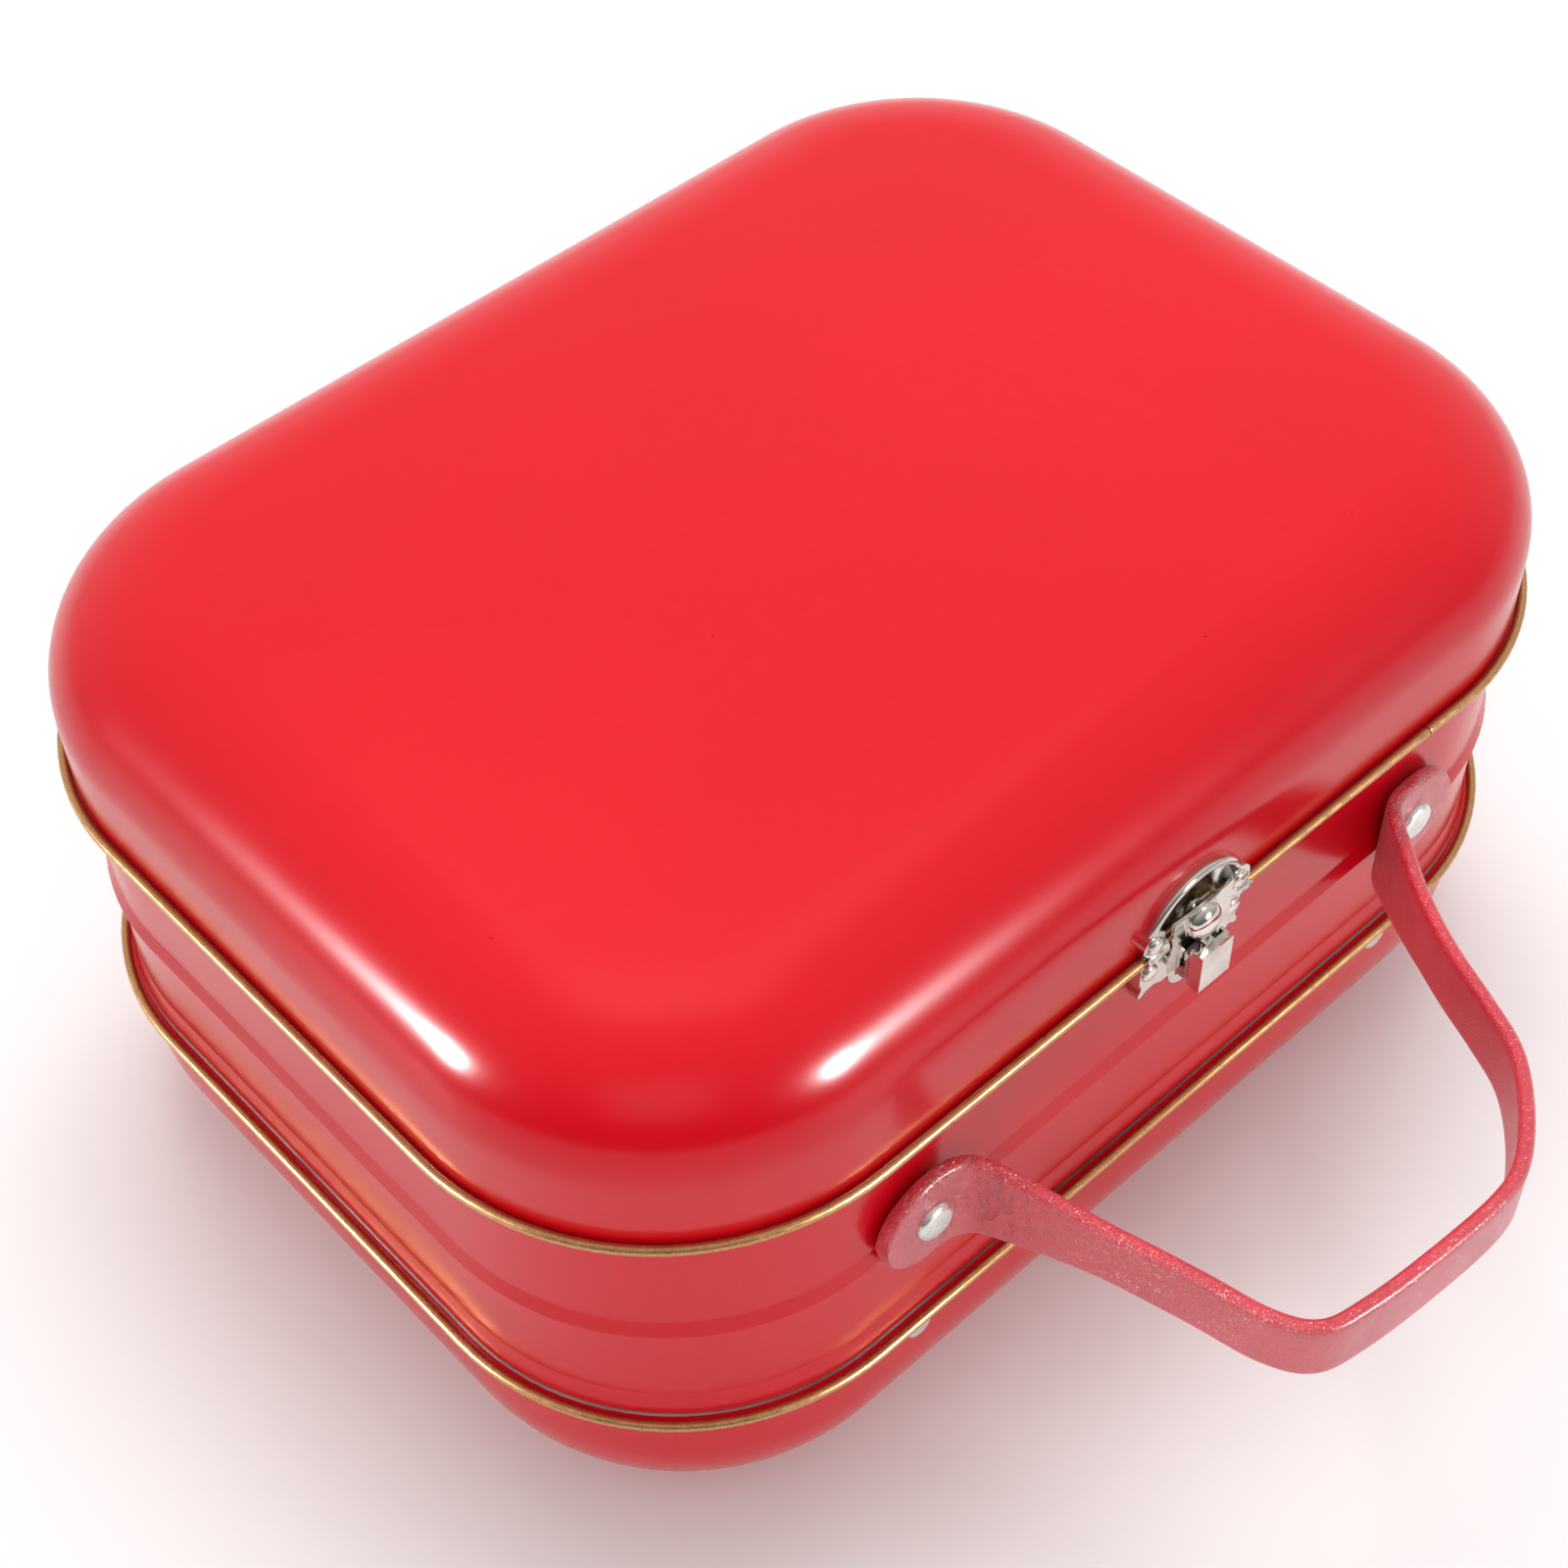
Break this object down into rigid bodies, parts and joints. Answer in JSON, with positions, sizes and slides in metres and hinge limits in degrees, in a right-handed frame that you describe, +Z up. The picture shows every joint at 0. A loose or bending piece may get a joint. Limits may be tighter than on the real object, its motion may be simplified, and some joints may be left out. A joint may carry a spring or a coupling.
{
  "type": "tin lunch box",
  "caption": "Suitcase-shaped tin lunch box with a rear-hinged deep-drawn lid, gilt rim wires, a sprung front hasp and a flexible leather strap handle.",
  "frame": {"origin": "centre of the flat underside of the pan, on the surface the box rests on", "axes": "+Z up, X along the long side, -Y towards the latch and handle, +Y towards the lid hinges"},
  "size_m": [0.2568, 0.27, 0.135],
  "materials": {
    "red_enamel": "satin stoved enamel on tinplate",
    "gilt_wire": "satin gilt lacquer",
    "nickel": "polished nickel plate",
    "zinc_steel": "zinc plated",
    "spring_steel": "bright spring wire",
    "red_leather": "fine-grained coated leather with painted edges"
  },
  "bodies": {
    "case": {"bottom_pan": "red_enamel", "pan_rim_wire": "gilt_wire", "body_wall": "red_enamel", "neck_hem_wire": "red_enamel", "pan_rivets": "nickel", "handle_tabs": "red_leather", "handle_rivets": "nickel", "handle_washers": "zinc_steel", "latch_base_plate": "nickel", "latch_base_rivets": "nickel", "hasp_spring": "spring_steel", "hinge_body_leaves": "nickel", "hinge_body_rivets": "nickel", "hinge_pins": "zinc_steel"},
    "lid": {"lid_shell": "red_enamel", "lid_rim_wire": "gilt_wire", "strike_plate": "nickel", "strike_stud": "nickel", "strike_rivets": "nickel", "hinge_lid_leaves": "nickel", "hinge_lid_rivets": "nickel"},
    "hasp": {"hasp": "nickel", "hasp_pin": "zinc_steel"},
    "handle": {"handle_strap": "red_leather"}
  },
  "joints": [
    {"name": "lid_hinge", "type": "hinge", "parent": "case", "child": "lid", "pos_m": [0, 0.1017, 0.09505], "axis": [-1, 0, 0], "range_deg": [0, 105]},
    {"name": "hasp_hinge", "type": "hinge", "parent": "case", "child": "hasp", "pos_m": [0, -0.1006, 0.0884], "axis": [1, 0, 0], "range_deg": [0, 80], "stiffness_Nm_per_rad": 0.01, "springref_deg": -20.05},
    {"name": "handle_swing", "type": "hinge", "parent": "case", "child": "handle", "pos_m": [0, -0.112, 0.074], "axis": [-1, 0, 0], "range_deg": [-25, 25], "stiffness_Nm_per_rad": 0.15}
  ]
}
